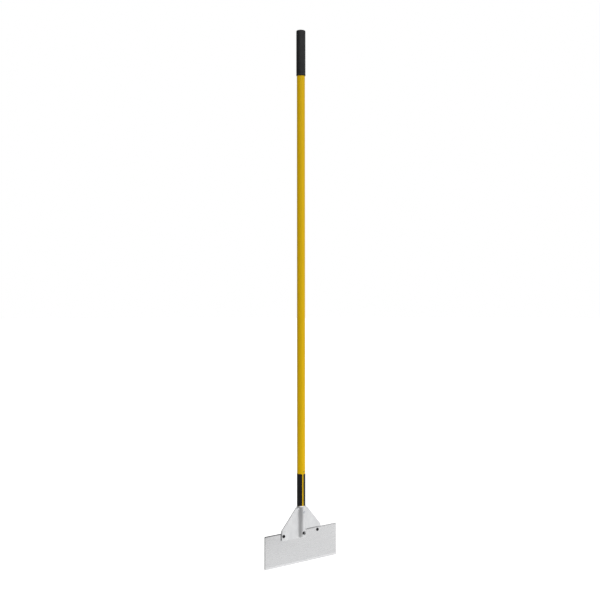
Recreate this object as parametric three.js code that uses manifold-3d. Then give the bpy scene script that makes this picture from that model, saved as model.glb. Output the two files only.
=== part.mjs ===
// Floor scraper: a straight round handle, clamped between two cast head halves that also clamp
// a wide flat blade. The left wing lies in front of the blade and the right wing behind it.
//
// Millimetres. +Z runs up the handle, X along the blade, and the blade's front face looks to -Y.
// The origin is the middle of the cutting edge.
import * as THREE from "three";
import { mergeVertices } from "three/addons/utils/BufferGeometryUtils.js";
import Module from "manifold-3d";

const wasm = await Module();
wasm.setup();

// ---- driving dimensions ----
const ROUND = 48; // sides of a large circle
const SMALL_ROUND = 24; // sides of a fastener's circle
const FIT = 0.3; // radial clearance between round pieces
const GAP = 0.15; // half of the gap between faces that are clamped together
const STACK_GAP = 0.1; // gap between the pieces of a bolt's stack

const BLADE_WIDTH = 304.8;
const BLADE_HEIGHT = 101.6;
const BLADE_THICKNESS = 2;
const BEVEL_HEIGHT = 6; // ground on both faces
const EDGE_LAND = 0.6; // flat left at the cutting edge

const TUBE_RADIUS = 12.7;
const TUBE_BORE_RADIUS = 9.5;
const TUBE_BOTTOM = 136.5;
const TUBE_LENGTH = 1524;
const TUBE_TOP = TUBE_BOTTOM + TUBE_LENGTH;

const GRIP_RADIUS = 14.45;
const GRIP_BOTTOM = 1520;
const GRIP_SHOULDER = 1661.2; // where the domed end begins
const GRIP_TOP = 1664;
const GRIP_CORNER = 3;

const CORE_BOTTOM = 138;
const CORE_LENGTH = 180;
const CORE_CHAMFER = 2;
const PIN_RADIUS = 1.9;
const PIN_HEIGHT = 284.5;
const PIN_DOME = 0.5;

const BAND_BOTTOM = 178;
const BAND_TOP = 277;
const BAND_THICKNESS = 0.4;
const BAND_SLOT = 4.5; // the two ends of the label don't quite meet
const BAND_SLOT_TURN = THREE.MathUtils.degToRad(-108.6);

const HEAD_BOTTOM = 78;
const HEAD_TOP = 177.6;
const BARREL_RADIUS = 14.4;
const BARREL_CORNER = 2.4;
const MOUTH_TAPER = 0.9; // the barrel's mouth narrows by this over MOUTH_HEIGHT
const MOUTH_HEIGHT = 3;
const SOCKET_FLOOR = TUBE_BOTTOM - FIT;

const WEB_FACE = 3.8; // outer face of the wing's web, from the blade's middle plane
const RIM_FACE = 4.6; // outer face of the rim and of the bolt pad
const RIM_WIDTH = 5;
const WING_REACH = 85.3;
const WING_SHOULDER = 108.6;
const WING_TOP = 170;
const WING_TOP_X = 26.7;
const PAD_WIDTH = 23;
const FILLET_RADIUS = 10;

const FLANGE_FACE = 3.2;
const FLANGE_REACH = 22.5;
const FLANGE_TOP = 174;
const SLOT_CLEARANCE = 0.8; // above the blade's top edge

const LEFT_BOLT_X = -78; // unequal, so that the blade and the halves fit only one way
const RIGHT_BOLT_X = 70;
const BLADE_BOLT_HEIGHT = 92.5;
const COUNTERBORE_RADIUS = 6.7;
const COUNTERBORE_SEAT = 9;

const RIVET_HEIGHT = 158;
const RIVET_RADIUS = 2.4;
const RIVET_HEAD_RADIUS = 4.4;
const RIVET_HEAD_HEIGHT = 1.3;
const RIVET_SEAT = 13.6;
const SPOT_FACE_RADIUS = 5;

const SHANK_RADIUS = 3; // M6
const HOLE_RADIUS = SHANK_RADIUS + FIT;
const HEAD_RADIUS = 5.2;
const HEAD_HEIGHT = 2.5;
const KEY_ACROSS_FLATS = 4;
const KEY_DEPTH = 1.6;
const WASHER_RADIUS = 6;
const WASHER_THICKNESS = 1.5;
const LOCK_RADIUS = 5.6;
const LOCK_THICKNESS = 1.6;
const LOCK_SPLIT = 1.2;
const NUT_ACROSS_FLATS = 10;
const NUT_HEIGHT = 5;
const THREAD_SHOWING = 1.5; // thread past the nut

// ---- solids ----

// A three.js geometry as a solid that can be joined and cut.
function solid(geometry) {
  const plain = geometry.clone();
  plain.deleteAttribute("normal");
  plain.deleteAttribute("uv");
  const merged = mergeVertices(plain, 1e-4);
  return new wasm.Manifold(
    new wasm.Mesh({
      numProp: 3,
      vertProperties: merged.attributes.position.array,
      triVerts: new Uint32Array(merged.index.array),
    }),
  );
}

// An outline in X and Z, extruded in Y from its front to its back depth.
function plate(outline, front, back) {
  const geometry = new THREE.ExtrudeGeometry(outline, {
    depth: back - front,
    bevelEnabled: false,
    curveSegments: 6,
  });
  return solid(geometry.rotateX(Math.PI / 2).translate(0, back, 0));
}

// An outline in X and Y, extruded up from bottom to top.
function column(outline, bottom, top, curveSegments = 12) {
  const geometry = new THREE.ExtrudeGeometry(outline, {
    depth: top - bottom,
    bevelEnabled: false,
    curveSegments,
  });
  return solid(geometry.translate(0, 0, bottom));
}

function box(x0, x1, y0, y1, z0, z1) {
  const geometry = new THREE.BoxGeometry(x1 - x0, y1 - y0, z1 - z0);
  return solid(geometry.translate((x0 + x1) / 2, (y0 + y1) / 2, (z0 + z1) / 2));
}

// A round bar along Y.
function crossBar(radius, front, back, x, z, sides = SMALL_ROUND) {
  const geometry = new THREE.CylinderGeometry(radius, radius, back - front, sides);
  return solid(geometry.translate(x, (front + back) / 2, z));
}

// A profile of [radius, distance] pairs turned about Y, the lathe's own axis.
function turned(profile, sides) {
  const points = profile.map(([radius, along]) => new THREE.Vector2(radius, along));
  return new THREE.LatheGeometry(points, sides);
}

// The same, stood upright about the handle's axis.
function turnedUpright(profile) {
  return solid(turned(profile, ROUND).rotateX(Math.PI / 2));
}

// Points of a quarter circle of a turned profile, from startAngle to endAngle in degrees.
function corner(radiusCentre, heightCentre, radius, startAngle, endAngle, steps = 5) {
  return Array.from({ length: steps + 1 }, (_, i) => {
    const angle = THREE.MathUtils.degToRad(startAngle + ((endAngle - startAngle) * i) / steps);
    return [radiusCentre + radius * Math.cos(angle), heightCentre + radius * Math.sin(angle)];
  });
}

// A closed outline through corners given as [x, z, rounding].
function roundedOutline(corners) {
  const shape = new THREE.Shape();
  corners.forEach(([x, z, rounding], i) => {
    const here = new THREE.Vector2(x, z);
    const [before, after] = [corners.at(i - 1), corners[(i + 1) % corners.length]].map(
      ([ox, oz]) => new THREE.Vector2(ox, oz).sub(here).setLength(rounding).add(here),
    );
    if (i === 0) {
      shape.moveTo(before.x, before.y);
    } else {
      shape.lineTo(before.x, before.y);
    }
    if (rounding > 0) {
      shape.quadraticCurveTo(x, z, after.x, after.y);
    }
  });
  shape.closePath();
  return shape;
}

// ---- materials ----

function finish(color, roughness, metalness) {
  return () => new THREE.MeshStandardMaterial({ color, roughness, metalness });
}

const yellowFibreglass = finish(0xcda814, 0.42, 0);
const blackVinyl = finish(0x26272a, 0.55, 0);
const blackLabel = finish(0x1d1e20, 0.35, 0);
const castAluminium = finish(0xc9cacb, 0.45, 0.9);
const satinSteel = finish(0xb9babb, 0.4, 0.9);
const blackOxide = finish(0x1b1c1e, 0.45, 0.6);
const zincPlate = finish(0xb2b4b8, 0.35, 0.9);
const hardwood = finish(0xb88d58, 0.7, 0);

// ---- the assembly ----

const scraper = new THREE.Group();

function add(name, shape, material) {
  const { vertProperties, triVerts } = shape.getMesh();
  const geometry = new THREE.BufferGeometry();
  geometry.setAttribute("position", new THREE.BufferAttribute(vertProperties, 3));
  geometry.setIndex(new THREE.BufferAttribute(triVerts, 1));
  geometry.computeVertexNormals();
  const mesh = new THREE.Mesh(geometry, material());
  mesh.name = name;
  scraper.add(mesh);
  return mesh;
}

// ---- blade ----

function blade() {
  const half = BLADE_THICKNESS / 2;
  const section = new THREE.Shape();
  section.moveTo(-EDGE_LAND / 2, 0);
  section.lineTo(EDGE_LAND / 2, 0);
  section.lineTo(half, BEVEL_HEIGHT);
  section.lineTo(half, BLADE_HEIGHT);
  section.lineTo(-half, BLADE_HEIGHT);
  section.lineTo(-half, BEVEL_HEIGHT);
  section.closePath();
  const strip = new THREE.ExtrudeGeometry(section, { depth: BLADE_WIDTH, bevelEnabled: false });
  const alongX = new THREE.Matrix4().makeBasis(
    new THREE.Vector3(0, 1, 0),
    new THREE.Vector3(0, 0, 1),
    new THREE.Vector3(1, 0, 0),
  );
  let shape = solid(strip.applyMatrix4(alongX).translate(-BLADE_WIDTH / 2, 0, 0));
  for (const x of [LEFT_BOLT_X, 0, RIGHT_BOLT_X]) {
    shape = shape.subtract(crossBar(HOLE_RADIUS, -5, 5, x, BLADE_BOLT_HEIGHT));
  }
  return shape;
}

add("blade", blade(), satinSteel);

// ---- head halves ----

// The wing's outline, with its outer and slanted edges moved in by the given inset.
function wingOutline(inset) {
  const slant = new THREE.Vector2(WING_REACH - WING_TOP_X, WING_TOP - WING_SHOULDER).normalize();
  const drop = (inset * (1 - slant.y)) / slant.x;
  return roundedOutline([
    [0, HEAD_BOTTOM - drop, 0],
    [inset - WING_REACH, HEAD_BOTTOM - drop, 3],
    [inset - WING_REACH, WING_SHOULDER - drop, 7],
    [inset - WING_TOP_X, WING_TOP - drop, 2],
    [0, WING_TOP - drop, 0],
  ]);
}

// The concave fillet between the barrel and the wing's outer face.
function wingFillet() {
  const centreY = WEB_FACE + FILLET_RADIUS;
  const reach = BARREL_RADIUS + FILLET_RADIUS;
  const centreX = Math.sqrt(reach * reach - centreY * centreY);
  const inside = WEB_FACE - 1; // the fillet's root lies inside the web and the barrel
  const shape = new THREE.Shape();
  shape.moveTo(-centreX, -WEB_FACE);
  shape.absarc(-centreX, -centreY, FILLET_RADIUS, Math.PI / 2, Math.atan2(centreY, centreX), true);
  shape.lineTo(-BARREL_RADIUS / 3, -inside);
  shape.lineTo(-centreX, -inside);
  shape.closePath();
  return column(shape, HEAD_BOTTOM + BARREL_CORNER / 2, WING_TOP - BARREL_CORNER, 8);
}

function barrel() {
  const edge = BARREL_RADIUS - BARREL_CORNER;
  return turnedUpright([
    [0, HEAD_BOTTOM],
    ...corner(edge, HEAD_BOTTOM + BARREL_CORNER, BARREL_CORNER, -90, 0, 4),
    [BARREL_RADIUS, HEAD_TOP - MOUTH_HEIGHT],
    [BARREL_RADIUS - MOUTH_TAPER, HEAD_TOP],
    [0, HEAD_TOP],
  ]);
}

// A half as it lies at the front. The rear half is the same casting turned half round the
// handle, with its wing hole drilled nearer the barrel.
function headHalf(wingBoltX) {
  const far = 2 * WING_REACH;
  const thickWing = plate(wingOutline(0), -RIM_FACE, -GAP);
  const rim = thickWing.subtract(plate(wingOutline(RIM_WIDTH), -far, far));
  const web = plate(wingOutline(0), -WEB_FACE, -GAP - BLADE_THICKNESS / 2);
  const padEnd = PAD_WIDTH - WING_REACH;
  const pad = thickWing.intersect(box(-far, padEnd, -far, far, 0, WING_SHOULDER));
  const flange = roundedOutline([
    [0, BLADE_HEIGHT, 0],
    [FLANGE_REACH, BLADE_HEIGHT, 2],
    [FLANGE_REACH, FLANGE_TOP, 4],
    [0, FLANGE_TOP, 0],
  ]);
  const socket = turnedUpright([
    [0, SOCKET_FLOOR],
    [TUBE_RADIUS + FIT, SOCKET_FLOOR],
    [TUBE_RADIUS + FIT, HEAD_TOP + 10],
    [0, HEAD_TOP + 10],
  ]);
  let shape = barrel().add(web).add(rim).add(pad).add(wingFillet());
  shape = shape.add(plate(flange, -FLANGE_FACE, -GAP));
  shape = shape.intersect(box(-far, far, -far, -GAP, 0, far + HEAD_TOP));
  const slotTop = BLADE_HEIGHT + SLOT_CLEARANCE;
  shape = shape.subtract(box(-far, far, -GAP - BLADE_THICKNESS / 2, 1, 0, slotTop));
  shape = shape.subtract(socket);
  for (const x of [wingBoltX, 0]) {
    shape = shape.subtract(crossBar(HOLE_RADIUS, -far, far, x, BLADE_BOLT_HEIGHT));
  }
  const outside = -BARREL_RADIUS - 1;
  return shape
    .subtract(
      crossBar(COUNTERBORE_RADIUS, outside, -COUNTERBORE_SEAT, 0, BLADE_BOLT_HEIGHT, ROUND),
    )
    .subtract(crossBar(SPOT_FACE_RADIUS, outside, -RIVET_SEAT, 0, RIVET_HEIGHT))
    .subtract(crossBar(RIVET_RADIUS + FIT, -far, far, 0, RIVET_HEIGHT));
}

add("front_head_half", headHalf(LEFT_BOLT_X), castAluminium);
add("rear_head_half", headHalf(-RIGHT_BOLT_X), castAluminium).rotation.z = Math.PI;

// ---- handle ----

function handleTube() {
  const ring = new THREE.Shape().absarc(0, 0, TUBE_RADIUS, 0, 2 * Math.PI);
  ring.holes.push(new THREE.Path().absarc(0, 0, TUBE_BORE_RADIUS, 0, 2 * Math.PI));
  return column(ring, TUBE_BOTTOM, TUBE_TOP, ROUND)
    .subtract(crossBar(RIVET_RADIUS + FIT, -20, 20, 0, RIVET_HEIGHT))
    .subtract(crossBar(PIN_RADIUS + FIT, -20, 20, 0, PIN_HEIGHT));
}

function handleCore() {
  const radius = TUBE_BORE_RADIUS - FIT;
  const top = CORE_BOTTOM + CORE_LENGTH;
  return turnedUpright([
    [0, CORE_BOTTOM],
    [radius - CORE_CHAMFER, CORE_BOTTOM],
    [radius, CORE_BOTTOM + CORE_CHAMFER],
    [radius, top - CORE_CHAMFER],
    [radius - CORE_CHAMFER, top],
    [0, top],
  ])
    .subtract(crossBar(RIVET_RADIUS + FIT, -20, 20, 0, RIVET_HEIGHT))
    .subtract(crossBar(PIN_RADIUS + FIT, -20, 20, 0, PIN_HEIGHT));
}

function corePin() {
  const end = TUBE_RADIUS;
  const profile = [
    [0, -end - PIN_DOME],
    [PIN_RADIUS * 0.7, -end - PIN_DOME * 0.8],
    [PIN_RADIUS, -end],
    [PIN_RADIUS, end],
    [PIN_RADIUS * 0.7, end + PIN_DOME * 0.8],
    [0, end + PIN_DOME],
  ];
  return solid(turned(profile, SMALL_ROUND).translate(0, 0, PIN_HEIGHT));
}

function grip() {
  const bore = TUBE_RADIUS + FIT;
  const shoulder = GRIP_RADIUS - GRIP_CORNER;
  const centre = GRIP_SHOULDER - GRIP_CORNER;
  return turnedUpright([
    [bore, GRIP_BOTTOM],
    [GRIP_RADIUS - 0.4, GRIP_BOTTOM],
    [GRIP_RADIUS, GRIP_BOTTOM + 0.6],
    ...corner(shoulder, centre, GRIP_CORNER, 0, 75, 5),
    [shoulder * 0.6, GRIP_TOP - 0.9],
    [shoulder * 0.3, GRIP_TOP - 0.2],
    [0, GRIP_TOP],
    [0, TUBE_TOP + FIT],
    [bore, TUBE_TOP + FIT],
    [bore, GRIP_BOTTOM],
  ]);
}

function labelBand() {
  const inner = TUBE_RADIUS + FIT / 2;
  const outer = inner + BAND_THICKNESS;
  const slotAngle = BAND_SLOT / outer;
  const start = BAND_SLOT_TURN + slotAngle / 2;
  const end = start + 2 * Math.PI - slotAngle;
  const shape = new THREE.Shape();
  shape.absarc(0, 0, outer, start, end);
  shape.absarc(0, 0, inner, end, start, true);
  shape.closePath();
  return column(shape, BAND_BOTTOM, BAND_TOP, ROUND);
}

add("handle_tube", handleTube(), yellowFibreglass);
add("handle_core", handleCore(), hardwood);
add("core_pin", corePin(), zincPlate);
add("label_band", labelBand(), blackLabel);
add("end_grip", grip(), blackVinyl);

// ---- fasteners ----

// The rivet that holds the handle in the barrel, with a low domed head at each end.
function handleRivet() {
  const seat = RIVET_SEAT + STACK_GAP;
  const crown = seat + RIVET_HEAD_HEIGHT;
  const profile = [
    [0, crown],
    [RIVET_HEAD_RADIUS * 0.45, crown - RIVET_HEAD_HEIGHT * 0.12],
    [RIVET_HEAD_RADIUS * 0.8, crown - RIVET_HEAD_HEIGHT * 0.45],
    [RIVET_HEAD_RADIUS, seat],
    [RIVET_RADIUS, seat],
  ];
  const mirrored = profile.map(([radius, along]) => [radius, -along]);
  const outline = [...mirrored, ...profile.reverse()];
  return solid(turned(outline, SMALL_ROUND).translate(0, 0, RIVET_HEIGHT));
}

add("handle_rivet", handleRivet(), zincPlate);

// A button-head screw along Y, with its head to the front and a hexagonal key socket.
function buttonScrew(seat, tip, x, z) {
  const crown = seat - HEAD_HEIGHT;
  const profile = [
    [0, crown],
    [HEAD_RADIUS * 0.5, crown],
    [HEAD_RADIUS * 0.78, crown + HEAD_HEIGHT * 0.22],
    [HEAD_RADIUS * 0.95, crown + HEAD_HEIGHT * 0.55],
    [HEAD_RADIUS, seat - 0.4],
    [HEAD_RADIUS, seat],
    [SHANK_RADIUS, seat],
    [SHANK_RADIUS, tip - 0.6],
    [SHANK_RADIUS - 0.6, tip],
    [0, tip],
  ];
  const screw = solid(turned(profile, SMALL_ROUND).translate(x, 0, z));
  const keyRadius = KEY_ACROSS_FLATS / Math.sqrt(3);
  return screw.subtract(crossBar(keyRadius, crown - 1, crown + KEY_DEPTH, x, z, 6));
}

function flatWasher(front, x, z) {
  const back = front + WASHER_THICKNESS;
  return crossBar(WASHER_RADIUS, front, back, x, z).subtract(
    crossBar(HOLE_RADIUS, front - 1, back + 1, x, z),
  );
}

// A spring washer: a ring with one radial split.
function lockWasher(front, x, z) {
  const back = front + LOCK_THICKNESS;
  const split = LOCK_SPLIT / 2;
  return crossBar(LOCK_RADIUS, front, back, x, z)
    .subtract(crossBar(HOLE_RADIUS, front - 1, back + 1, x, z))
    .subtract(box(x - split, x + split, front - 1, back + 1, z, z + 2 * LOCK_RADIUS));
}

function hexNut(front, x, z) {
  const back = front + NUT_HEIGHT;
  return crossBar(NUT_ACROSS_FLATS / Math.sqrt(3), front, back, x, z, 6).subtract(
    crossBar(SHANK_RADIUS + GAP, front - 1, back + 1, x, z),
  );
}

// One bolted joint: a screw from the front, and at the back a flat washer, a spring washer
// and a nut.
function boltedJoint({ place, x, frontSeat, backSeat }) {
  const z = BLADE_BOLT_HEIGHT;
  const washerFront = backSeat + STACK_GAP;
  const lockFront = washerFront + WASHER_THICKNESS + STACK_GAP;
  const nutFront = lockFront + LOCK_THICKNESS + STACK_GAP;
  const tip = nutFront + NUT_HEIGHT + THREAD_SHOWING;
  add(`${place}_screw`, buttonScrew(frontSeat - STACK_GAP, tip, x, z), blackOxide);
  add(`${place}_flat_washer`, flatWasher(washerFront, x, z), zincPlate);
  add(`${place}_lock_washer`, lockWasher(lockFront, x, z), zincPlate);
  add(`${place}_nut`, hexNut(nutFront, x, z), zincPlate);
}

const bladeFace = BLADE_THICKNESS / 2;
[
  { place: "left_wing", x: LEFT_BOLT_X, frontSeat: -RIM_FACE, backSeat: bladeFace },
  { place: "right_wing", x: RIGHT_BOLT_X, frontSeat: -bladeFace, backSeat: RIM_FACE },
  { place: "centre", x: 0, frontSeat: -COUNTERBORE_SEAT, backSeat: COUNTERBORE_SEAT },
].forEach(boltedJoint);

export default scraper;
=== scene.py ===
# Floor scraper: the detailed pieces, materials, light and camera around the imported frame.
# Metres, +Z up the handle, X along the blade, the blade's front face looks to -Y.
import math

import bmesh
import bpy
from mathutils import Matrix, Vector


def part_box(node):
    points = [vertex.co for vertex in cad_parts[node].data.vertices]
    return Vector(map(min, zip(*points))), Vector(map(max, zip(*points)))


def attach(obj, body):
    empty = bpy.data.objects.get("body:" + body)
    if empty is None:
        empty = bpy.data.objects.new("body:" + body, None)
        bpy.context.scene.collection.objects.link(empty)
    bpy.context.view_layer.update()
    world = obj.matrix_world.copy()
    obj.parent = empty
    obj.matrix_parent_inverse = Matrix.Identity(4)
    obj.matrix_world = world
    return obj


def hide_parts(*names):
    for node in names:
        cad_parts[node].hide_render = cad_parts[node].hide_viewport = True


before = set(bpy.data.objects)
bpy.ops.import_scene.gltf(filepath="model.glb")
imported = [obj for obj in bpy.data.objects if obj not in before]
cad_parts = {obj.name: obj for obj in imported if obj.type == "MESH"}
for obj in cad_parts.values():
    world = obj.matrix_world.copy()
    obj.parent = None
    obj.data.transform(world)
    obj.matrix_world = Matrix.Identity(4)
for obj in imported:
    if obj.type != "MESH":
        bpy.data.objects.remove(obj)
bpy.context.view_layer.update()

MM = 0.001
TAU = 2 * math.pi
ON_AXIS = 1e-9  # a ring no wider than this is a single point


# ---- where things are, read from the frame ----

def low(node, axis):
    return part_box(node)[0][axis]


def high(node, axis):
    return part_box(node)[1][axis]


def middle(node, axis):
    return (low(node, axis) + high(node, axis)) / 2


X, Y, Z = 0, 1, 2

TUBE_R = high("handle_tube", X)
GRIP_R = high("end_grip", X)
BAND_R = high("label_band", X)
BLADE_BACK = high("blade", Y)
BLADE_TOP = high("blade", Z)
BLADE_END = high("blade", X)
HEAD_BOTTOM = low("front_head_half", Z)
HEAD_TOP = high("front_head_half", Z)
BARREL_R = -low("front_head_half", Y)
WING_REACH = -low("front_head_half", X)
TUBE_BOTTOM = low("handle_tube", Z)
TUBE_TOP = high("handle_tube", Z)
PIN_HEIGHT = middle("core_pin", Z)
RIVET_HEIGHT = middle("handle_rivet", Z)
BOLT_HEIGHT = middle("centre_screw", Z)
LEFT_BOLT_X = middle("left_wing_screw", X)
RIGHT_BOLT_X = middle("right_wing_screw", X)

# Sizes that the frame's boxes don't give.
FIT = 0.3 * MM  # clearance between a round piece and what it sits in
CLAMP_GAP = 0.15 * MM  # each casting's clearance to the parting plane and to the blade
TUBE_BORE_R = 9.5 * MM
BOLT_R = 3 * MM
BOLT_HOLE_R = BOLT_R + FIT
RIVET_R = 2.4 * MM
RIVET_HOLE_R = RIVET_R + FIT
PIN_HOLE_R = 2 * MM
SPOT_FACE_R = 5 * MM
FAR_SIDE = 2 * BARREL_R  # well past every piece that is drilled from front to back
WEB_FACE = 3.8 * MM
RIM_FACE = 4.6 * MM
BEVEL_HEIGHT = 6 * MM
RIM_WIDTH = 5 * MM
WING_SHOULDER = 108.6 * MM
WING_TOP = 170 * MM
WING_TOP_X = 26.7 * MM
PAD_WIDTH = 23 * MM
FILLET_R = 10 * MM
FLANGE_FACE = 3.2 * MM
FLANGE_REACH = 22.5 * MM
FLANGE_TOP = 174 * MM
COUNTERBORE_SEAT = 9 * MM
COUNTERBORE_R = 6.7 * MM
RIVET_SEAT = 13.6 * MM
BAND_SLOT = 4.5 * MM
BAND_SLOT_TURN = math.radians(-108.6)
LARGE_ROUND = 128  # sides of the handle and the head


# ---- mesh helpers ----

def new_object(name, verts, faces):
    mesh = bpy.data.meshes.new(name)
    mesh.from_pydata([tuple(v) for v in verts], [], faces)
    mesh.validate()
    bm = bmesh.new()
    bm.from_mesh(mesh)
    bmesh.ops.remove_doubles(bm, verts=bm.verts, dist=1e-7)
    bmesh.ops.recalc_face_normals(bm, faces=bm.faces)
    bm.to_mesh(mesh)
    bm.free()
    piece = bpy.data.objects.new(name, mesh)
    bpy.context.scene.collection.objects.link(piece)
    return piece


def rounded(points, steps=5, closed=False):
    """A line of (a, b) or (a, b, radius) points, with an arc at each point that has a radius."""
    line = []
    count = len(points)
    for i, point in enumerate(points):
        here = Vector(point[:2])
        radius = point[2] if len(point) > 2 else 0
        if radius <= 0 or (not closed and i in (0, count - 1)):
            line.append(tuple(here))
            continue
        before = (Vector(points[i - 1][:2]) - here).normalized()
        after = (Vector(points[(i + 1) % count][:2]) - here).normalized()
        half = before.angle(after) / 2
        reach = radius / math.tan(half)
        centre = here + (before + after).normalized() * (radius / math.sin(half))
        start = here + before * reach - centre
        end = here + after * reach - centre
        turn = start.angle_signed(end)
        for k in range(steps + 1):
            arm = start.copy()
            angle = -turn * k / steps
            arm.x = start.x * math.cos(angle) - start.y * math.sin(angle)
            arm.y = start.x * math.sin(angle) + start.y * math.cos(angle)
            line.append(tuple(centre + arm))
    return line


def upright(radius, height, angle):
    return (radius * math.cos(angle), radius * math.sin(angle), height)


def crosswise(radius, along, angle):
    return (radius * math.cos(angle), along, radius * math.sin(angle))


def skin(rings, sides):
    """Faces from each ring of vertices to the next. A ring of one vertex is a point."""
    faces = []
    for a, b in zip(rings, rings[1:]):
        for k in range(sides):
            n = (k + 1) % sides
            quad = [a[k % len(a)], a[n % len(a)], b[n % len(b)], b[k % len(b)]]
            face = [v for i, v in enumerate(quad) if v != quad[i - 1]]
            if len(face) > 2:
                faces.append(face)
    return faces


def turned(name, profile, sides, place=upright, centre=(0, 0, 0)):
    """A closed solid of revolution. The profile of (radius, distance) starts and ends on the
    axis, or is a loop that stays clear of it."""
    loop = profile[0][0] > ON_AXIS
    verts, rings = [], []
    for radius, along in profile:
        count = 1 if radius <= ON_AXIS else sides
        rings.append([len(verts) + k for k in range(count)])
        for k in range(count):
            point = place(max(radius, 0), along, TAU * k / sides)
            verts.append(Vector(point) + Vector(centre))
    if loop:
        rings.append(rings[0])
    return new_object(name, verts, skin(rings, sides))


def prism(name, outline, start, end, place):
    """An outline extruded between two distances. place turns (a, b, distance) into a point."""
    count = len(outline)
    verts = [place(a, b, d) for d in (start, end) for a, b in outline]
    faces = [list(range(count)), list(range(2 * count - 1, count - 1, -1))]
    for k in range(count):
        n = (k + 1) % count
        faces.append([k, k + count, n + count, n])
    return new_object(name, verts, faces)


def plate_point(a, b, distance):
    return (a, distance, b)


def column_point(a, b, distance):
    return (a, b, distance)


def along_blade(a, b, distance):
    return (distance, a, b)


def cylinder(name, radius, front, back, x, z, sides=64):
    profile = [(0, front), (radius, front), (radius, back), (0, back)]
    return turned(name, profile, sides, crosswise, (x, 0, z))


def block(name, x0, x1, y0, y1, z0, z1):
    outline = [(x0, z0), (x1, z0), (x1, z1), (x0, z1)]
    return prism(name, outline, y0, y1, plate_point)


def combine(target, other, operation):
    """Joins, cuts or meets target with other, which is used up."""
    modifier = target.modifiers.new(operation.lower(), "BOOLEAN")
    modifier.operation = operation
    modifier.solver = "MANIFOLD"
    modifier.object = other
    apply_modifiers(target)
    bpy.data.objects.remove(other)


def drill(piece, radius, x, z):
    """Drills a piece from front to back."""
    combine(piece, cylinder("drill", radius, -FAR_SIDE, FAR_SIDE, x, z), "DIFFERENCE")


def apply_modifiers(piece):
    graph = bpy.context.evaluated_depsgraph_get()
    mesh = bpy.data.meshes.new_from_object(piece.evaluated_get(graph))
    piece.modifiers.clear()
    old = piece.data
    piece.data = mesh
    bpy.data.meshes.remove(old)


def soften(piece, width, segments, angle):
    """Breaks the edges that are sharper than an angle by a small bevel."""
    modifier = piece.modifiers.new("edges", "BEVEL")
    modifier.width = width
    modifier.segments = segments
    modifier.limit_method = "ANGLE"
    modifier.angle_limit = math.radians(angle)
    apply_modifiers(piece)


def finish(piece, name, material, node, angle=32):
    """Names a finished piece, dresses it, and lets it stand for its CAD node."""
    piece.name = name
    piece.data.name = name
    piece.data.materials.clear()
    piece.data.materials.append(material)
    piece.data.shade_smooth()
    piece.data.set_sharp_from_angle(angle=math.radians(angle))
    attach(piece, "root")
    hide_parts(node)


# ---- material helpers ----

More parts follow.
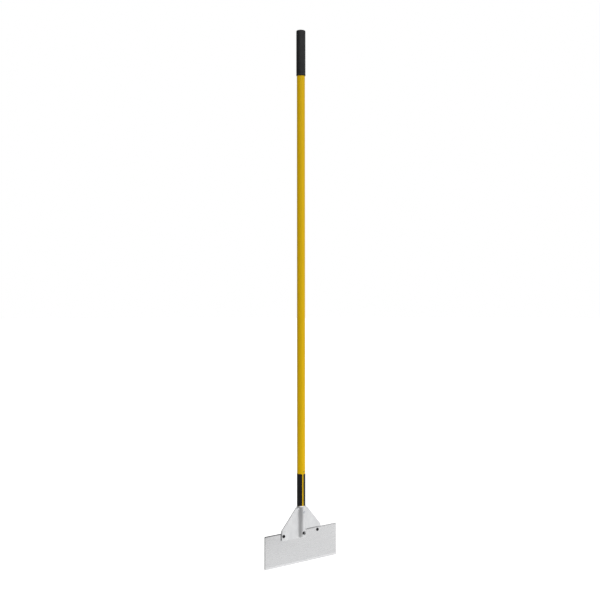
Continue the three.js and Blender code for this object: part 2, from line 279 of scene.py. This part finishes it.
class Surface:
    """A Principled material with short calls for the nodes behind it."""

    def __init__(self, name, roughness, metallic=0.0, **sockets):
        self.material = bpy.data.materials.new(name)
        self.material.use_nodes = True
        self.tree = self.material.node_tree
        self.shader = self.tree.nodes["Principled BSDF"]
        self.shader.inputs["Roughness"].default_value = roughness
        self.shader.inputs["Metallic"].default_value = metallic
        for socket, value in sockets.items():
            self.shader.inputs[socket.replace("_", " ")].default_value = value
        self.place = self.node("ShaderNodeTexCoord").outputs["Object"]

    def node(self, kind, **settings):
        made = self.tree.nodes.new(kind)
        for key, value in settings.items():
            setattr(made, key, value)
        return made

    def link(self, output, socket):
        self.tree.links.new(output, socket)

    def stretched(self, scale):
        mapping = self.node("ShaderNodeMapping")
        mapping.inputs["Scale"].default_value = scale
        self.link(self.place, mapping.inputs["Vector"])
        return mapping.outputs["Vector"]

    def noise(self, scale, detail=3.0, roughness=0.55, stretch=(1, 1, 1), distortion=0.0):
        made = self.node("ShaderNodeTexNoise")
        made.inputs["Scale"].default_value = scale
        made.inputs["Detail"].default_value = detail
        made.inputs["Roughness"].default_value = roughness
        made.inputs["Distortion"].default_value = distortion
        self.link(self.stretched(stretch), made.inputs["Vector"])
        return made.outputs["Fac"]

    def ramp(self, value, start, end, colours):
        """Maps value from start..end onto two or more colours, evenly spread."""
        made = self.node("ShaderNodeValToRGB")
        ramp = made.color_ramp
        steps = len(colours) - 1
        for k, colour in enumerate(colours):
            spot = start + (end - start) * k / steps
            stop = ramp.elements[k] if k < 2 else ramp.elements.new(spot)
            stop.position = spot
            stop.color = (*colour, 1)
        self.link(value, made.inputs["Fac"])
        return made.outputs["Color"]

    def level(self, value, start, end, low_value, high_value):
        made = self.node("ShaderNodeMapRange")
        made.inputs["From Min"].default_value = start
        made.inputs["From Max"].default_value = end
        made.inputs["To Min"].default_value = low_value
        made.inputs["To Max"].default_value = high_value
        self.link(value, made.inputs["Value"])
        return made.outputs["Result"]

    def mix(self, factor, first, second):
        made = self.node("ShaderNodeMix", data_type="RGBA")
        # For colours the node's sockets are 0, the factor, 6 and 7, the colours, and output 2.
        self.link(factor, made.inputs[0])
        for index, side in ((6, first), (7, second)):
            if isinstance(side, tuple):
                made.inputs[index].default_value = (*side, 1)
            else:
                self.link(side, made.inputs[index])
        return made.outputs[2]

    def maths(self, operation, first, second):
        made = self.node("ShaderNodeMath", operation=operation)
        for index, side in enumerate((first, second)):
            if isinstance(side, (int, float)):
                made.inputs[index].default_value = side
            else:
                self.link(side, made.inputs[index])
        return made.outputs["Value"]

    def along(self, axis):
        made = self.node("ShaderNodeSeparateXYZ")
        self.link(self.place, made.inputs["Vector"])
        return made.outputs["XYZ"[axis]]

    def colour(self, output):
        self.link(output, self.shader.inputs["Base Color"])

    def roughness(self, output):
        self.link(output, self.shader.inputs["Roughness"])

    def bump(self, *layers):
        """Layers of (height output, depth in metres), one on another."""
        normal = None
        for height, depth in layers:
            made = self.node("ShaderNodeBump")
            made.inputs["Strength"].default_value = 1
            made.inputs["Distance"].default_value = depth
            self.link(height, made.inputs["Height"])
            if normal:
                self.link(normal, made.inputs["Normal"])
            normal = made.outputs["Normal"]
        self.link(normal, self.shader.inputs["Normal"])


# ---- materials ----

def yellow_fibreglass():
    gloss = {"Specular_IOR_Level": 0.2, "Coat_Weight": 0.06, "Coat_Roughness": 0.25}
    s = Surface("yellow_fibreglass", 0.45, **gloss)
    fibres = s.noise(60, 4, 0.6, (14, 14, 0.35))
    cloud = s.noise(9, 2, 0.5, (1, 1, 0.5))
    base = s.ramp(fibres, 0.3, 0.7, [(0.86, 0.53, 0.0), (0.96, 0.6, 0.001)])
    s.colour(s.mix(s.level(cloud, 0.35, 0.65, 0.0, 0.35), base, (0.9, 0.56, 0.002)))
    s.roughness(s.level(fibres, 0.3, 0.7, 0.34, 0.46))
    s.bump((fibres, 0.00012), (s.noise(900, 2), 0.00002))
    return s.material


def black_vinyl():
    s = Surface("black_vinyl", 0.52, Specular_IOR_Level=0.42)
    mottle = s.noise(45, 3)
    s.colour(s.ramp(mottle, 0.3, 0.7, [(0.008, 0.0085, 0.009), (0.016, 0.0165, 0.0175)]))
    s.roughness(s.level(s.noise(220, 3), 0.3, 0.7, 0.42, 0.58))
    s.bump((s.noise(1500, 2), 0.00006), (mottle, 0.0002))
    return s.material


def black_label():
    s = Surface("black_label", 0.4, Specular_IOR_Level=0.3)
    cloud = s.noise(60, 2)
    s.colour(s.ramp(cloud, 0.3, 0.7, [(0.009, 0.009, 0.0095), (0.015, 0.015, 0.016)]))
    s.roughness(s.level(s.noise(300, 3), 0.3, 0.7, 0.3, 0.42))
    s.bump((s.noise(260, 2, 0.4), 0.00004))
    return s.material


def cast_aluminium():
    s = Surface("cast_aluminium", 0.36, 0.9)
    grain = s.noise(1300, 3, 0.6)
    cloud = s.noise(28, 3, 0.5)
    flow = s.noise(70, 3, 0.5, (1, 1, 0.4), 0.6)
    base = s.ramp(cloud, 0.3, 0.7, [(0.74, 0.745, 0.755), (0.86, 0.865, 0.87)])
    s.colour(s.mix(s.level(flow, 0.35, 0.7, 0.0, 0.3), base, (0.7, 0.705, 0.72)))
    s.roughness(s.level(flow, 0.3, 0.7, 0.27, 0.36))
    s.bump((grain, 0.00008), (flow, 0.0002))
    return s.material


def blade_steel():
    """Rolled steel with a fine lengthwise grain, a cross-ground bevel, dull sheared ends, and a dark
    band along the top edge that is partly shear marks and partly painted shade.
    """
    s = Surface("blade_steel", 0.3, 0.95)
    rolled = s.noise(70, 4, 0.6, (0.25, 1, 14))
    cloud = s.noise(9, 3, 0.5, (0.6, 1, 1.4))
    ground = s.noise(220, 3, 0.6, (9, 1, 0.4))
    height, side = s.along(Z), s.along(X)
    bevel = s.level(height, BEVEL_HEIGHT - 0.2 * MM, BEVEL_HEIGHT + 0.2 * MM, 1.0, 0.0)
    face = s.ramp(rolled, 0.3, 0.7, [(0.69, 0.692, 0.7), (0.75, 0.752, 0.758)])
    face = s.mix(s.level(cloud, 0.35, 0.65, 0.0, 0.4), face, (0.66, 0.662, 0.67))
    bright = s.ramp(ground, 0.3, 0.7, [(0.78, 0.78, 0.79), (0.9, 0.9, 0.905)])
    # Along the top edge the dark band is partly shear marks and partly painted shade, darkest towards
    # -X and fading towards +X. Across both ends the dark strips are shear marks.
    painted_shade_fade = s.level(side, -50 * MM, 80 * MM, 1.0, 0.4)
    top = s.level(height, BLADE_TOP - 3.4 * MM, BLADE_TOP - 1.4 * MM, 0.0, 1.0)
    from_middle = s.maths("ABSOLUTE", side, 0)
    ends = s.level(from_middle, BLADE_END - 1.2 * MM, BLADE_END - 0.3 * MM, 0.0, 1.0)
    shear_marks_and_painted_shade = s.maths("MAXIMUM", s.maths("MULTIPLY", top, painted_shade_fade), ends)
    metal = s.mix(bevel, face, bright)
    # The dark colour is shear marks at the ends, and shear marks with painted shade along the top
    # edge.
    s.colour(s.mix(shear_marks_and_painted_shade, metal, (0.13, 0.13, 0.135)))
    streaks = s.level(rolled, 0.3, 0.7, 0.24, 0.33)
    s.roughness(s.maths("ADD", streaks, s.maths("MULTIPLY", shear_marks_and_painted_shade, 0.2)))
    s.bump((s.mix(bevel, rolled, ground), 0.00002), (cloud, 0.0002))
    return s.material


def black_oxide():
    s = Surface("black_oxide", 0.42, 0.7)
    cloud = s.noise(400, 3)
    s.colour(s.ramp(cloud, 0.3, 0.75, [(0.012, 0.012, 0.014), (0.035, 0.034, 0.036)]))
    s.roughness(s.level(s.noise(900, 3), 0.3, 0.7, 0.36, 0.55))
    s.bump((s.noise(2500, 2), 0.00002))
    return s.material


def zinc_plate():
    s = Surface("zinc_plate", 0.3, 1.0)
    spangle = s.noise(500, 4, 0.6)
    s.colour(s.ramp(spangle, 0.3, 0.7, [(0.58, 0.6, 0.64), (0.76, 0.77, 0.79)]))
    s.roughness(s.level(s.noise(1200, 3), 0.3, 0.7, 0.22, 0.4))
    s.bump((s.noise(2200, 2), 0.000015))
    return s.material


def pin_steel():
    s = Surface("pin_steel", 0.45, 0.9)
    cloud = s.noise(900, 3)
    s.colour(s.ramp(cloud, 0.3, 0.7, [(0.05, 0.05, 0.053), (0.13, 0.13, 0.135)]))
    s.roughness(s.level(cloud, 0.3, 0.7, 0.38, 0.55))
    s.bump((s.noise(2400, 2), 0.00002))
    return s.material


def core_wood():
    s = Surface("core_wood", 0.7)
    grain = s.noise(120, 5, 0.6, (5, 5, 0.35), 0.4)
    s.colour(s.ramp(grain, 0.3, 0.7, [(0.42, 0.24, 0.1), (0.6, 0.4, 0.2)]))
    s.roughness(s.level(grain, 0.3, 0.7, 0.6, 0.8))
    s.bump((grain, 0.0001))
    return s.material


YELLOW = yellow_fibreglass()
VINYL = black_vinyl()
LABEL = black_label()
ALUMINIUM = cast_aluminium()
STEEL = blade_steel()
OXIDE = black_oxide()
ZINC = zinc_plate()
PIN = pin_steel()
WOOD = core_wood()


# ---- handle ----

def build_tube():
    rings, edge = 24, 0.4 * MM
    span = TUBE_TOP - TUBE_BOTTOM
    outside = [(TUBE_R, TUBE_BOTTOM + span * k / rings) for k in range(1, rings)]
    profile = [
        (TUBE_BORE_R, TUBE_BOTTOM),
        (TUBE_R - edge, TUBE_BOTTOM),
        (TUBE_R, TUBE_BOTTOM + edge),
        *outside,
        (TUBE_R, TUBE_TOP - edge),
        (TUBE_R - edge, TUBE_TOP),
        (TUBE_BORE_R, TUBE_TOP),
    ]
    tube = turned("tube", profile, LARGE_ROUND)
    drill(tube, PIN_HOLE_R, 0, PIN_HEIGHT)
    drill(tube, RIVET_HOLE_R, 0, RIVET_HEIGHT)
    finish(tube, "yellow_handle", YELLOW, "handle_tube")


def build_grip():
    """The sleeve: a bead and a groove at its lower end, a rounded top with a moulding mark."""
    bottom, top = low("end_grip", Z), high("end_grip", Z)
    bore, roof = TUBE_R + FIT, TUBE_TOP + FIT
    lip = GRIP_R - 0.5 * MM
    groove_r = GRIP_R - 0.45 * MM
    sleeve_r = GRIP_R - 0.1 * MM
    mark = top - 0.9 * MM
    outside = [
        (bore, bottom),
        (lip, bottom, 0.4 * MM),
        (GRIP_R, bottom + 1.4 * MM, 0.8 * MM),
        (GRIP_R, bottom + 5.6 * MM, 0.5 * MM),
        (groove_r, bottom + 6.5 * MM, 0.5 * MM),
        (groove_r, bottom + 7.3 * MM, 0.5 * MM),
        (sleeve_r, bottom + 8.2 * MM, 0.5 * MM),
        (sleeve_r, top - 2.9 * MM, 3.2 * MM),
        (4 * MM, top, 6 * MM),
        (2.2 * MM, top, 0.5 * MM),
        (1.5 * MM, mark, 0.4 * MM),
        (0, mark),
    ]
    profile = [*rounded(outside, 6), (0, roof), (bore, roof)]
    grip = turned("grip", profile, LARGE_ROUND)
    finish(grip, "vinyl_grip", VINYL, "end_grip", 40)


def build_band():
    """The wrap label: a thin film round the tube whose two ends don't quite meet."""
    bottom, top = low("label_band", Z), high("label_band", Z)
    inner, outer = TUBE_R + 0.03 * MM, BAND_R
    slot = BAND_SLOT / outer
    turns, rise, corner = 160, 40, 2.5 * MM
    verts, faces = [], []
    for k in range(turns + 1):
        angle = BAND_SLOT_TURN + slot / 2 + (TAU - slot) * k / turns
        end = min(k, turns - k) * (TAU - slot) * outer / turns
        cut = corner - math.sqrt(max(corner**2 - max(corner - end, 0) ** 2, 0))
        for radius in (inner, outer):
            for j in range(rise + 1):
                height = bottom + cut + (top - bottom - 2 * cut) * j / rise
                verts.append(upright(radius, height, angle))
    step = 2 * (rise + 1)
    for k in range(turns):
        for side in (0, rise + 1):
            for j in range(rise):
                a = k * step + side + j
                faces.append([a, a + 1, a + step + 1, a + step])
        for j in (0, rise):
            a = k * step + j
            faces.append([a, a + rise + 1, a + step + rise + 1, a + step])
    for k in (0, turns):
        for j in range(rise):
            a = k * step + j
            faces.append([a, a + 1, a + rise + 2, a + rise + 1])
    band = new_object("band", verts, faces)
    finish(band, "wrap_label", LABEL, "label_band")


def build_pin():
    front, back = low("core_pin", Y), high("core_pin", Y)
    radius = high("core_pin", X)
    dome = 0.5 * MM
    half = [(0, front), (radius * 0.55, front + dome * 0.25), (radius, front + dome, 0.3 * MM)]
    other = [(radius, back - dome, 0.3 * MM), (radius * 0.55, back - dome * 0.25), (0, back)]
    pin = turned("pin", rounded(half + other), 40, crosswise, (0, 0, PIN_HEIGHT))
    finish(pin, "cross_pin", PIN, "core_pin", 50)


def build_rivet():
    crown = high("handle_rivet", Y)
    seat, radius = RIVET_SEAT + 0.1 * MM, 4.4 * MM
    # The first 0.12 of the head's height is straight, and the rest is domed.
    steps, rise, wall = 8, crown - seat, 0.12
    side = [(0, crown)]
    for k in range(1, steps + 1):
        angle = math.pi / 2 * k / steps
        side.append((radius * math.sin(angle), seat + rise * (wall + (1 - wall) * math.cos(angle))))
    side += [(radius, seat), (RIVET_R, seat)]
    profile = [(r, -a) for r, a in side] + side[::-1]
    rivet = turned("rivet", profile, 64, crosswise, (0, 0, RIVET_HEIGHT))
    finish(rivet, "barrel_rivet", ZINC, "handle_rivet", 40)


# ---- head ----

def wing_outline(inset):
    """The wing's outline in X and Z, its outer and slanted edges moved in by inset."""
    slant = Vector((WING_REACH - WING_TOP_X, WING_TOP - WING_SHOULDER)).normalized()
    drop = inset * (1 - slant.y) / slant.x
    corners = [
        (0, HEAD_BOTTOM - drop),
        (inset - WING_REACH, HEAD_BOTTOM - drop, 3 * MM),
        (inset - WING_REACH, WING_SHOULDER - drop, 9 * MM),
        (inset - WING_TOP_X, WING_TOP - drop, 3 * MM),
        (0, WING_TOP - drop),
    ]
    return rounded(corners, 8, closed=True)


def fillet_outline():
    """The hollow between the barrel and the wing, in X and Y."""
    centre_y = WEB_FACE + FILLET_R
    reach = BARREL_R + FILLET_R
    centre_x = math.sqrt(reach**2 - centre_y**2)
    end = math.atan2(centre_y, centre_x)
    arc, steps = FILLET_R + 0.1 * MM, 14
    line = []
    for k in range(steps + 1):
        angle = math.pi / 2 + (end - math.pi / 2) * k / steps
        line.append((-centre_x + arc * math.cos(angle), -centre_y + arc * math.sin(angle)))
    inside = WEB_FACE - MM
    return [*line, (-BARREL_R / 3, -inside), (-centre_x, -inside)]


def barrel_blank(name):
    mouth = HEAD_TOP - 3 * MM
    profile = [
        (0, HEAD_BOTTOM),
        (BARREL_R, HEAD_BOTTOM, 2.6 * MM),
        (BARREL_R, mouth, 1.5 * MM),
        (BARREL_R - 0.9 * MM, HEAD_TOP),
        (0, HEAD_TOP),
    ]
    return turned(name, rounded(profile, 8), LARGE_ROUND)


def casting_blank(name):
    """The casting's outside with its soft cast edges, running on behind the parting face."""
    behind = 3 * MM
    body = barrel_blank(name)
    rim = prism("rim", wing_outline(0), -RIM_FACE, behind, plate_point)
    hollow = prism("hollow", wing_outline(RIM_WIDTH), -BARREL_R, BARREL_R, plate_point)
    combine(rim, hollow, "DIFFERENCE")
    web = prism("web", wing_outline(0), -WEB_FACE, behind, plate_point)
    pad = prism("pad", wing_outline(0), -RIM_FACE, behind, plate_point)
    pad_end = PAD_WIDTH - WING_REACH
    around = block("around", -2 * WING_REACH, pad_end, -BARREL_R, BARREL_R, 0, WING_SHOULDER)
    combine(pad, around, "INTERSECT")
    start, end = HEAD_BOTTOM + 2.4 * MM, WING_TOP - 2.4 * MM
    fillet = prism("fillet", fillet_outline(), start, end, column_point)
    flange_corners = [
        (0, BLADE_TOP),
        (FLANGE_REACH, BLADE_TOP, 2 * MM),
        (FLANGE_REACH, FLANGE_TOP, 5 * MM),
        (0, FLANGE_TOP),
    ]
    flange_outline = rounded(flange_corners, 6, closed=True)
    flange = prism("flange", flange_outline, -FLANGE_FACE, behind, plate_point)
    for part in (web, rim, pad, fillet, flange):
        combine(body, part, "UNION")
    cast = body.modifiers.new("cast", "REMESH")
    cast.mode = "VOXEL"
    cast.voxel_size = 0.6 * MM
    soft = body.modifiers.new("soft", "SMOOTH")
    soft.factor = 0.5
    soft.iterations = 5
    apply_modifiers(body)
    return body


def head_half(name, bolt_x):
    """One casting, as it lies at the front: barrel half, wing to -X, short flange to +X."""
    far = 2 * WING_REACH
    sky = HEAD_TOP + far
    socket_r, socket_floor = TUBE_R + FIT, TUBE_BOTTOM - FIT
    lead = 0.5 * MM
    socket = [
        (0, socket_floor),
        (socket_r, socket_floor),
        (socket_r, HEAD_TOP - lead),
        (socket_r + lead, HEAD_TOP),
        (socket_r + lead, sky),
        (0, sky),
    ]
    cuts = [
        block("parting", -far, far, -CLAMP_GAP, far, 0, sky),
        block("slot", -far, far, -BLADE_BACK - CLAMP_GAP, far, 0, BLADE_TOP + 0.8 * MM),
        turned("socket", socket, LARGE_ROUND),
        cylinder("bolt", BOLT_HOLE_R, -far, far, bolt_x, BOLT_HEIGHT),
        cylinder("bolt", BOLT_HOLE_R, -far, far, 0, BOLT_HEIGHT),
        cylinder("counterbore", COUNTERBORE_R, -far, -COUNTERBORE_SEAT, 0, BOLT_HEIGHT),
        cylinder("spot_face", SPOT_FACE_R, -far, -RIVET_SEAT, 0, RIVET_HEIGHT),
        cylinder("rivet", RIVET_HOLE_R, -far, far, 0, RIVET_HEIGHT),
    ]
    casting = casting_blank(name)
    for cut in cuts:
        combine(casting, cut, "DIFFERENCE")
    return casting


def half_turn(piece):
    for vertex in piece.data.vertices:
        vertex.co.x = -vertex.co.x
        vertex.co.y = -vertex.co.y


def build_head():
    front = head_half("front", LEFT_BOLT_X)
    finish(front, "front_casting", ALUMINIUM, "front_head_half", 40)
    rear = head_half("rear", -RIGHT_BOLT_X)
    half_turn(rear)
    finish(rear, "rear_casting", ALUMINIUM, "rear_head_half", 40)


# ---- blade ----

def build_blade():
    half, land = BLADE_BACK, 0.3 * MM
    corners = [
        (-land, 0),
        (land, 0),
        (half, BEVEL_HEIGHT, 1.5 * MM),
        (half, BLADE_TOP, 0.25 * MM),
        (-half, BLADE_TOP, 0.25 * MM),
        (-half, BEVEL_HEIGHT, 1.5 * MM),
    ]
    section = rounded(corners, 4, closed=True)
    blade = prism("blade_blank", section, -BLADE_END, BLADE_END, along_blade)
    for x in (LEFT_BOLT_X, 0, RIGHT_BOLT_X):
        drill(blade, BOLT_HOLE_R, x, BOLT_HEIGHT)
    soften(blade, 0.12 * MM, 2, 60)
    finish(blade, "scraper_blade", STEEL, "blade", 20)


# ---- fasteners ----

THREAD_PITCH = 1 * MM
THREAD_DEPTH = 0.55 * MM
THREAD_SLOPE = 1.25
THREAD_ROWS = 8  # rows of points a pitch
SCREW_SIDES = 48
RING_SIDES = 72  # sides of the nuts and the washers


def stance(node):
    """Where a fastener along Y begins and ends, and the X and Z of its axis."""
    return low(node, Y), high(node, Y), middle(node, X), middle(node, Z)


def half_width(node):
    return (high(node, X) - low(node, X)) / 2


def thread_row(along, start, tip):
    """Points once round the shank, in a groove that climbs a pitch a turn and fades out."""
    fade = min(1, (along - start) / THREAD_PITCH, (tip - along) / THREAD_PITCH)
    row = []
    for k in range(SCREW_SIDES):
        phase = (along / THREAD_PITCH + k / SCREW_SIDES) % 1
        groove = max(1 - abs(2 * phase - 1) * THREAD_SLOPE, 0)
        radius = BOLT_R - THREAD_DEPTH * fade * groove
        row.append(crosswise(radius, along, TAU * k / SCREW_SIDES))
    return row


def ring_row(radius, along):
    count = 1 if radius <= ON_AXIS else SCREW_SIDES
    return [crosswise(radius, along, TAU * k / count) for k in range(count)]


def build_screw(node, name):
    """A black button-head screw with a hexagonal key socket and a rolled thread."""
    crown, tip, x, z = stance(node)
    head_r, head_h = half_width(node), 2.5 * MM
    seat = crown + head_h
    corners = [
        (0, crown),
        (head_r * 0.52, crown, 1.2 * MM),
        (head_r * 0.88, crown + head_h * 0.36, 2.5 * MM),
        (head_r, seat - 0.55 * MM, 0.6 * MM),
        (head_r, seat, 0.12 * MM),
        (BOLT_R, seat),
    ]
    rows = [ring_row(radius, along) for radius, along in rounded(corners)]
    start, stop = seat + 0.8 * MM, tip - 0.2 * MM
    count = int((stop - start) / THREAD_PITCH * THREAD_ROWS)
    for j in range(count + 1):
        rows.append(thread_row(start + (stop - start) * j / count, start, tip))
    rows += [ring_row(BOLT_R - 0.7 * MM, tip), ring_row(0, tip)]
    verts, rings = [], []
    for row in rows:
        rings.append([len(verts) + k for k in range(len(row))])
        verts.extend(Vector(point) + Vector((x, 0, z)) for point in row)
    screw = new_object("screw", verts, skin(rings, SCREW_SIDES))
    key_r, key_depth = 2.31 * MM, 1.6 * MM
    key = cylinder("key", key_r, crown - MM, crown + key_depth, x, z, 6)
    combine(screw, key, "DIFFERENCE")
    finish(screw, name, OXIDE, node, 38)


def build_nut(node, name):
    """A hexagon nut, its corners chamfered at both faces and its bore countersunk."""
    front, back, x, z = stance(node)
    flats = min(half_width(node), (high(node, Z) - low(node, Z)) / 2)
    bore, sink, sink_depth, sides = 3.15 * MM, 3.5 * MM, 0.35 * MM, RING_SIDES
    face_r = flats * 0.96
    verts, faces, columns = [], [], []
    for k in range(sides):
        angle = TAU * k / sides
        from_flat = (angle + math.pi / 6) % (math.pi / 3) - math.pi / 6
        hexagon = flats / math.cos(from_flat)
        drop = (hexagon - face_r) * math.tan(math.radians(30))
        points = [
            (bore, front + sink_depth),
            (sink, front),
            (face_r, front),
            (hexagon, front + drop),
            (hexagon, back - drop),
            (face_r, back),
            (sink, back),
            (bore, back - sink_depth),
        ]
        columns.append([len(verts) + j for j in range(len(points))])
        verts.extend(Vector(crosswise(r, a, angle)) + Vector((x, 0, z)) for r, a in points)
    count = len(columns[0])
    for a, b in zip(columns, columns[1:] + columns[:1]):
        for j in range(count):
            n = (j + 1) % count
            faces.append([a[j], b[j], b[n], a[n]])
    nut = new_object("nut", verts, faces)
    finish(nut, name, ZINC, node, 25)


def washer_corners(node, edge):
    """A washer's square section as (radius, distance, rounding)."""
    front, back, _, _ = stance(node)
    inner, outer = BOLT_HOLE_R, half_width(node)
    return [(inner, front, edge), (outer, front, edge), (outer, back, edge), (inner, back, edge)]


def build_flat_washer(node, name):
    _, _, x, z = stance(node)
    section = rounded(washer_corners(node, 0.25 * MM), 3, closed=True)
    washer = turned("washer", section, RING_SIDES, crosswise, (x, 0, z))
    finish(washer, name, ZINC, node, 40)


def build_lock_washer(node, name):
    """A spring washer: a square section carried nearly once round, its two ends cut aslant."""
    front, back, x, z = stance(node)
    turns = RING_SIDES
    section = rounded(washer_corners(node, 0.15 * MM), 2, closed=True)
    count = len(section)
    gap, lean = 0.16, 0.1  # the split and its slant, as angles
    verts, faces = [], []
    for k in range(turns + 1):
        share = k / turns
        for radius, along in section:
            tilt = lean * (along - (front + back) / 2) / (back - front)
            angle = math.pi / 2 + gap / 2 + tilt + (TAU - gap) * share
            verts.append(Vector(crosswise(radius, along, angle)) + Vector((x, 0, z)))
    for k in range(turns):
        for j in range(count):
            n = (j + 1) % count
            a = k * count
            faces.append([a + j, a + n, a + count + n, a + count + j])
    faces.append(list(range(count)))
    faces.append(list(range(turns * count, (turns + 1) * count)))
    washer = new_object("spring_washer", verts, faces)
    finish(washer, name, ZINC, node, 40)


build_tube()
build_grip()
build_band()
build_pin()
build_rivet()
build_head()
build_blade()
for place in ("left_wing", "right_wing", "centre"):
    build_screw(f"{place}_screw", f"{place}_button_screw")
    build_flat_washer(f"{place}_flat_washer", f"{place}_plain_washer")
    build_lock_washer(f"{place}_lock_washer", f"{place}_spring_washer")
    build_nut(f"{place}_nut", f"{place}_hex_nut")

# The core is hidden in the tube, so its CAD mesh stays and only gets its material.
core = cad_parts["handle_core"]
core.data.materials.clear()
core.data.materials.append(WOOD)


# ---- stage: floor, light and camera ----

FLOOR_R = 40.0
FLOOR_DROP = 0.5 * MM  # keeps the floor clear of the blade's edge
PANEL_DROP = 0.2 * MM  # between the blade's edge and the floor
FLOOR_GREY = 0.3
FLOOR_LIFT = 0.92


def build_floor():
    """A pale floor, lifted to white for the camera alone, so that the lift doesn't light the tool."""
    sides = 96
    verts = [(0, 0, -FLOOR_DROP)]
    verts += [upright(FLOOR_R, -FLOOR_DROP, TAU * k / sides) for k in range(sides)]
    faces = [[0, 1 + k, 1 + (k + 1) % sides] for k in range(sides)]
    floor = new_object("floor", verts, faces)
    s = Surface("pale_floor", 0.9, Specular_IOR_Level=0.0)
    s.shader.inputs["Base Color"].default_value = (FLOOR_GREY, FLOOR_GREY, FLOOR_GREY, 1)
    s.shader.inputs["Emission Color"].default_value = (1, 1, 1, 1)
    seen = s.node("ShaderNodeLightPath").outputs["Is Camera Ray"]
    s.link(s.maths("MULTIPLY", seen, FLOOR_LIFT), s.shader.inputs["Emission Strength"])
    floor.data.materials.append(s.material)


def area_light(name, place, aim, width, height, power):
    data = bpy.data.lights.new(name, "AREA")
    data.shape = "RECTANGLE"
    data.size, data.size_y, data.energy = width, height, power
    light = bpy.data.objects.new(name, data)
    light.location = place
    light.rotation_euler = (Vector(aim) - Vector(place)).to_track_quat("-Z", "Y").to_euler()
    light.visible_camera = False
    bpy.context.scene.collection.objects.link(light)
    return light


def glow(tree, direction, start, end, away, towards):
    """The world's brightness, by how nearly a direction points the given way."""
    place = tree.nodes.new("ShaderNodeTexCoord")
    facing = tree.nodes.new("ShaderNodeVectorMath")
    facing.operation = "DOT_PRODUCT"
    facing.inputs[1].default_value = direction
    tree.links.new(place.outputs["Generated"], facing.inputs[0])
    level = tree.nodes.new("ShaderNodeMapRange")
    level.interpolation_type = "SMOOTHSTEP"
    level.inputs["From Min"].default_value = start
    level.inputs["From Max"].default_value = end
    level.inputs["To Min"].default_value = away
    level.inputs["To Max"].default_value = towards
    tree.links.new(facing.outputs["Value"], level.inputs["Value"])
    return level.outputs["Result"]


def studio_world():
    """A soft white studio, dim to the tool's left and bright overhead. Its backdrop is plain
    white to the camera."""
    world = bpy.data.worlds.new("studio")
    world.use_nodes = True
    tree = world.node_tree
    walls = glow(tree, (-0.96, -0.28, 0), start=-0.35, end=0.4, away=0.4, towards=0.08)
    ceiling = glow(tree, (-0.2, -0.45, 0.87), start=0.4, end=0.9, away=0.0, towards=1.6)
    brighter = tree.nodes.new("ShaderNodeMath")
    brighter.operation = "MAXIMUM"
    tree.links.new(walls, brighter.inputs[0])
    tree.links.new(ceiling, brighter.inputs[1])
    lit = tree.nodes["Background"]
    lit.inputs["Color"].default_value = (1, 1, 1, 1)
    tree.links.new(brighter.outputs["Value"], lit.inputs["Strength"])
    backdrop = tree.nodes.new("ShaderNodeBackground")
    backdrop.inputs["Color"].default_value = (1, 1, 1, 1)
    rays = tree.nodes.new("ShaderNodeLightPath")
    mix = tree.nodes.new("ShaderNodeMixShader")
    tree.links.new(rays.outputs["Is Camera Ray"], mix.inputs[0])
    tree.links.new(lit.outputs[0], mix.inputs[1])
    tree.links.new(backdrop.outputs[0], mix.inputs[2])
    tree.links.new(mix.outputs[0], tree.nodes["World Output"].inputs["Surface"])
    bpy.context.scene.world = world


def build_light():
    studio_world()
    area_light("key", (1.2, -0.98, 0.95), (0, 0, 0.8), 0.6, 2.2, 3)
    # The panel lies on the floor and faces up. It reaches under and behind the blade, and its
    # left edge runs past the blade's left end.
    x, y, turn = 0.7, -0.57, math.radians(16.7)
    panel = area_light("floor_panel", (x, y, -PANEL_DROP), (x, y, 1), 1.4, 2.6, 7)
    panel.rotation_euler = (math.pi, 0, turn)
    area_light("blade_key", (0.6, -0.22, 0.5), (0.5, -0.2, 0), 0.4, 0.4, 0.6)
    bpy.context.scene.view_settings.view_transform = "Standard"


def build_camera():
    """The camera stands level with the tool's middle, to the left of the blade's front."""
    turn = math.radians(43.43)
    distance, height = 3.375, 0.8274
    data = bpy.data.cameras.new("camera")
    data.sensor_width = 36
    data.lens = 64.76
    camera = bpy.data.objects.new("camera", data)
    camera.location = (-math.sin(turn) * distance, -math.cos(turn) * distance, height)
    pan, tilt, roll = math.radians(-0.054), math.radians(0.127), math.radians(0.04)
    camera.rotation_euler = (math.pi / 2 - tilt, roll, -turn - pan)
    bpy.context.scene.collection.objects.link(camera)
    bpy.context.scene.camera = camera


build_floor()
build_light()
build_camera()
